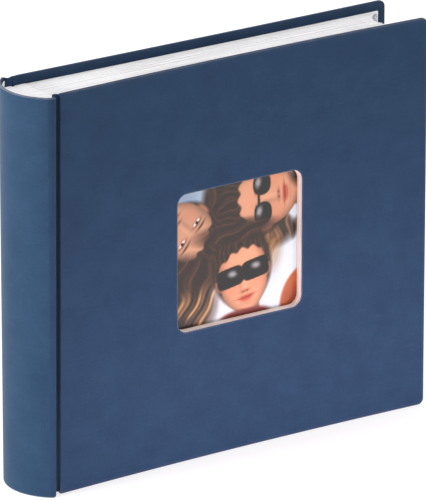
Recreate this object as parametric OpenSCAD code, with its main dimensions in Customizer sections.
// Book-bound slip-in photo album, standing upright on its tail edge.
// Frame: origin under the middle of the album, at the level it stands on.
// +X runs from the spine to the fore edge, +Y from the front cover to the back cover, +Z up.
// Inside the modules, X = 0 is the spine-side edge of both cover boards.

/* [Covers] */
// Width of a cover, from the groove to the fore edge
board_w = 236; // [220:1:250]
// Height of the covers and of the spine
cover_h = 220; // [200:1:240]
// Distance from the middle plane to the front cover's outer face, at the cover's edges
front_depth = 20.1; // [20:0.1:20.4]
// Distance from the middle plane to the back cover's outer face, at the cover's edges
back_depth = 21.1; // [21:0.1:21.3]
// How far the front cover is bowed towards the leaves
front_bow = 2.5; // [1.5:0.1:2.6]
// How far the back cover is bowed towards the leaves
back_bow = 0.6; // [0.3:0.1:0.7]
// Radius of a cover's fore-edge corners
corner_r = 3.5; // [1.5:0.5:4]
// Width of cloth that is folded over a board's edge
turn_in = 14; // [10:1:18]

/* [Layers] */
// Thickness of the covering cloth
cloth_t = 0.3; // [0.25:0.05:0.35]
// Thickness of the front cover's outer board, which the cloth is wrapped round
outer_board_t = 1.7; // [1.5:0.1:1.8]
// Thickness of the front cover's smaller inner board
inner_board_t = 2; // [1.8:0.1:2.1]
// Thickness of the back cover's board
back_board_t = 1.8; // [1.5:0.1:1.9]
// Thickness of the paper pasted inside a cover
pastedown_t = 0.2; // [0.15:0.05:0.25]

/* [Window] */
// Width of the window in the front cover
window_w = 80; // [60:1:90]
// Height of the window in the front cover
window_h = 77; // [60:1:90]
// Distance from the groove-side edge of the board to the window
window_x = 75.7; // [60:0.1:90]
// Distance from the tail edge to the window
window_z = 72.8; // [60:0.1:85]
// Radius of the window's corners
window_r = 6; // [3:0.5:8]

/* [Spine] */
// How far the rounded spine stands out behind the boards' edges
spine_bulge = 17.7; // [17:0.1:18.5]
// Radius of the rounded spine's outer face
spine_r = 29; // [28.5:0.1:29.5]
// Half of the width across the rounded part of the spine, between its shoulders
spine_half = 21.9; // [21.8:0.1:22]
// Thickness of the card that stiffens the spine
spine_card_t = 0.9; // [0.7:0.1:1]

/* [Leaves] */
// How far the covers stand out beyond the leaves at the head, tail and fore edge
square_w = 5; // [3:0.5:6]
// Thickness of a leaf's white paper
paper_t = 0.3; // [0.2:0.05:0.3]
// Thickness of a leaf across its photo pockets
pocket_t = 0.6; // [0.5:0.05:0.65]
// Distance from one leaf to the next
leaf_pitch = 0.735; // [0.71:0.005:0.735]
// How far the fore edge of the block is hollowed, as its rounded back stands out
hollow = 9.5; // [7:0.5:11]
// Width of the writing margin of the outermost leaves, from the groove
memo_w = 68; // [60:0.5:75]

/* [Hidden] */
leaf_count = 40;
overall_l = board_w + spine_bulge;
origin_x = overall_l / 2 - spine_bulge;
across_l = 100;
bow_steps = 16;
fine = 180;

// Depths below a cover's outer face
card_t = 0.3;
outer_in = cloth_t + outer_board_t;
front_turn = outer_in + cloth_t;
front_core = front_turn + inner_board_t;
front_inner = front_core + card_t;
front_t = front_inner + pastedown_t;
back_core = cloth_t + back_board_t;
back_inner = back_core + cloth_t;
back_t = back_inner + pastedown_t;

// The print behind the window, and the pocket in the backing card that holds it
print_lap = 10;
print_t = 0.25;
print_clear = 1;
filler_clear = 0.5;
pastedown_gap = 5;
board_start = 2;

// Depths below the spine's outer face
card_in = cloth_t + spine_card_t;
spine_turn = card_in + cloth_t;
lining_t = 0.2;
mull_gap = 0.3;
mull_t = 0.3;
glue_t = 0.4;
lining_in = spine_turn + lining_t;
mull_out = lining_in + mull_gap;
mull_in = mull_out + mull_t;
glue_in = mull_in + glue_t;
spine_cx = spine_r - spine_bulge;
spine_angle = asin(spine_half / spine_r);
card_angle = asin((spine_half - cloth_t) / spine_r);
lining_angle = card_angle - 4;

// The stack of leaves, between the bowed covers
flyleaf_t = 0.2;
front_free_y = -front_depth + front_bow + front_t;
leaves_y = front_free_y + 0.3 + flyleaf_t + 0.1;
leaves_t = leaf_count * leaf_pitch;
back_fly_y = leaves_y + leaves_t + 0.05;
leaf_x = 10.6;
leaf_right = board_w - square_w - 0.5;
leaf_mid_y = leaves_y + leaves_t / 2;
leaf_z = square_w;
leaf_h = cover_h - 2 * square_w;
pocket_margin = 1;
pocket_gap = 1.4;
pocket_right = leaf_right - 1.5;

// The bound edge of the block: guards and leaf margins glued together
guard_x = 5;
block_shoulder_x = -3.2;
block_shoulder_y = 18.4;
block_angle = asin(block_shoulder_y / spine_r);

// The cloth between the spine and a board: round the shoulder, then down into the groove and up
front_joint = [
    [-6.6, 22.4], [-5.6, 22.7], [-4.7, 22.7], [-4, 22.5], [-3.6, 22.1],
    [-3.4, 21.2], [-3.1, 20], [-2.75, 18.4], [-2.3, 17], [-1.6, 16.3], [-0.9, 16.5], [-0.5, 17.6], [-0.35, 19.8]
];
back_joint = [
    [-6.9, 22.3], [-6.2, 22.5], [-5.6, 22],
    [-5.1, 21.1], [-4.5, 20.6], [-3.8, 20.6], [-3.2, 20.9], [-2.6, 21.05], [-1.4, 21.05], [-0.4, 20.95]
];

function leaf_name(i) = str("leaf_", i < 10 ? "0" : "", i);

// Moves a piece from the board-edge frame to the album's frame
module place() {
    translate([-origin_x, 0, 0]) children();
}

// Extrudes an outline drawn in X and Z right through the album along Y
module across() {
    translate([0, across_l / 2, 0]) rotate([90, 0, 0]) linear_extrude(across_l) children();
}

// A cover's outline, square at the groove and rounded at the fore edge
module cover_outline(inset) {
    w = board_w - inset;
    h = cover_h - 2 * inset;
    r = corner_r - inset;
    translate([0, inset]) {
        square([w - r, h]);
        translate([0, r]) square([w, h - 2 * r]);
        for (z = [r, h - r]) translate([w - r, z]) circle(r = r, $fn = 48);
    }
}

// A rectangle that starts at the groove and keeps a margin on the three other sides
module margin_outline(margin, start = 0) {
    translate([start, margin]) square([board_w - margin - start, cover_h - 2 * margin]);
}

// The window's outline, grown outwards by a lap
module window_outline(lap, r) {
    w = window_w + 2 * lap;
    h = window_h + 2 * lap;
    translate([window_x - lap, window_z - lap]) {
        translate([r, 0]) square([w - 2 * r, h]);
        translate([0, r]) square([w, h - 2 * r]);
        for (x = [r, w - r], z = [r, h - r]) translate([x, z]) circle(r = r, $fn = 48);
    }
}

// How far a leaf at y is set back at the fore edge, in a block with a rounded back
function set_back(y) = hollow * (1 - pow(2 * (y - leaf_mid_y) / leaves_t, 2));

function unit(v) = v / norm(v);

// The inward normal of a path in plan at point i
function inward(path, i) =
    let (t = unit(path[min(i + 1, len(path) - 1)] - path[max(i - 1, 0)])) [t.y, -t.x];

// How far a bowed board lies inside its edges' plane at x
function bowed(bow, x) = bow * (1 - pow(2 * x / board_w - 1, 2));

// One bowed sheet of the front cover, between two depths below its outer face
module sheet(bow, top, bottom) {
    xs = [for (i = [0:bow_steps]) board_w * i / bow_steps];
    face = [for (x = xs) [x, bowed(bow, x) - front_depth]];
    far = [for (i = [bow_steps:-1:0]) face[i] + [0, bottom]];
    near = [for (p = face) p + [0, top]];
    linear_extrude(cover_h) polygon(concat(near, far));
}

// A layer of a cover cut to an outline
module layer(bow, top, bottom) {
    intersection() {
        sheet(bow, top, bottom);
        across() children();
    }
}

// Cloth round the outer face, the three outer edges and a strip of the inner face
module cover_cloth(bow, core, inner) {
    difference() {
        layer(bow, 0, inner) cover_outline(0);
        layer(bow, cloth_t, core) cover_outline(cloth_t);
        layer(bow, core, inner + 0.1) margin_outline(turn_in);
    }
}

module back_side() {
    translate([0, back_depth - front_depth, 0]) mirror([0, 1, 0]) children();
}

// A curved layer of the spine, between two depths and two radial ends
module spine_layer(outer, inner, end, half_angle) {
    reach = 2 * spine_r;
    tip = reach * [-cos(half_angle), sin(half_angle)];
    translate([spine_cx, 0, end]) linear_extrude(cover_h - 2 * end) intersection() {
        difference() {
            circle(r = spine_r - outer, $fn = fine);
            circle(r = spine_r - inner, $fn = fine);
        }
        polygon([[0, 0], tip, [-reach, tip.y], [-reach, -tip.y], [tip.x, -tip.y]]);
    }
}

module spine_card() {
    color("burlywood") place() spine_layer(cloth_t, card_in, cloth_t, card_angle);
}

module spine_cloth() {
    color("steelblue") place() difference() {
        spine_layer(0, spine_turn, 0, spine_angle);
        spine_layer(cloth_t, card_in, cloth_t, card_angle);
        spine_layer(card_in, spine_turn + 0.1, turn_in, card_angle);
    }
}

module spine_lining() {
    color("white") place() spine_layer(spine_turn, lining_in, square_w, lining_angle);
}

module mull() {
    color("gainsboro") place() spine_layer(mull_out, mull_in, 2 * square_w, block_angle);
}

module spine_glue() {
    color("ivory") place() spine_layer(mull_in, glue_in, square_w, block_angle);
}

// The rounded back of the block with its two shoulders, and the guards in front of it
module bound_edges() {
    color("white") place() translate([0, 0, square_w]) linear_extrude(leaf_h) {
        intersection() {
            translate([spine_cx, 0]) circle(r = spine_r - glue_in, $fn = fine);
            translate([-spine_bulge, -block_shoulder_y])
                square([spine_bulge + block_shoulder_x, 2 * block_shoulder_y]);
        }
        translate([block_shoulder_x, leaves_y]) square([guard_x - block_shoulder_x, leaves_t]);
    }
}

// Cloth from the spine's edge to a board, drawn on the back side
module joint_cloth(joint) {
    start = spine_r * [-cos(spine_angle), sin(spine_angle)] + [spine_cx, 0];
    path = concat([start], joint);
    first = (spine_r - cloth_t) / spine_r * (start - [spine_cx, 0]) + [spine_cx, 0];
    under = [for (i = [len(path) - 1:-1:1]) path[i] + cloth_t * inward(path, i)];
    linear_extrude(cover_h) polygon(concat(path, under, [first]));
}

module front_joint_cloth() {
    color("navy") place() mirror([0, 1, 0]) joint_cloth(front_joint);
}

module back_joint_cloth() {
    color("navy") place() joint_cloth(back_joint);
}

module front_cloth() {
    color("steelblue") place() difference() {
        cover_cloth(front_bow, outer_in, front_turn);
        across() window_outline(0, window_r);
    }
}

module front_board_outer() {
    color("wheat") place() difference() {
        layer(front_bow, cloth_t, outer_in) cover_outline(cloth_t);
        across() window_outline(0, window_r);
    }
}

// The inner board stops short of the edges, and is pressed in between the turn-ins
module front_board_inner() {
    color("tan") place() difference() {
        union() {
            layer(front_bow, outer_in, front_turn) margin_outline(turn_in + filler_clear, board_start);
            layer(front_bow, front_turn, front_core) margin_outline(pastedown_gap, board_start);
        }
        across() window_outline(0, window_r);
    }
}

// Backs the inner board, with a pocket for the print
module front_backing_card() {
    color("lightgrey") place() difference() {
        layer(front_bow, front_core, front_inner) margin_outline(pastedown_gap, board_start);
        across() window_outline(print_lap + print_clear, window_r);
    }
}

module cover_print() {
    color("lightskyblue") place()
        layer(front_bow, front_core, front_core + print_t) window_outline(print_lap, window_r);
}

module front_pastedown() {
    color("white") place()
        layer(front_bow, front_inner, front_t) margin_outline(pastedown_gap, board_start);
}

module back_cloth() {
    color("steelblue") place() back_side() cover_cloth(back_bow, back_core, back_inner);
}

module back_board() {
    color("tan") place() back_side() layer(back_bow, cloth_t, back_core) cover_outline(cloth_t);
}

module back_filler_card() {
    color("lightgrey") place() back_side()
        layer(back_bow, back_core, back_inner) margin_outline(turn_in + filler_clear, filler_clear);
}

module back_pastedown() {
    color("white") place() back_side()
        layer(back_bow, back_inner, back_t) margin_outline(pastedown_gap, filler_clear);
}

module flyleaf(y) {
    translate([leaf_x, y, leaf_z]) cube([leaf_right - leaf_x, flyleaf_t, leaf_h]);
}

module front_flyleaf() {
    color("white") place() flyleaf(leaves_y - 0.1 - flyleaf_t);
}

module back_flyleaf() {
    color("white") place() flyleaf(back_fly_y);
}

// A sheet of white paper with two welded photo pockets, one above the other, on both faces
module leaf(i) {
    mid = leaves_y + (i - 0.5) * leaf_pitch;
    back = set_back(mid);
    pocket_h = (leaf_h - 2 * pocket_margin - pocket_gap) / 2;
    color(i % 2 == 0 ? "whitesmoke" : "lavender") place() {
        translate([leaf_x, mid - paper_t / 2, leaf_z])
            cube([leaf_right - back - leaf_x, paper_t, leaf_h]);
        for (k = [0, 1]) {
            pocket_z = leaf_z + pocket_margin + k * (pocket_h + pocket_gap);
            translate([memo_w - back, mid - pocket_t / 2, pocket_z])
                cube([pocket_right - memo_w, pocket_t, pocket_h]);
        }
    }
}

spine_card();
spine_cloth();
spine_lining();
mull();
spine_glue();
bound_edges();
front_joint_cloth();
back_joint_cloth();
front_cloth();
front_board_outer();
front_board_inner();
front_backing_card();
cover_print();
front_pastedown();
back_cloth();
back_board();
back_filler_card();
back_pastedown();
front_flyleaf();
back_flyleaf();
for (i = [1:leaf_count]) leaf(i);
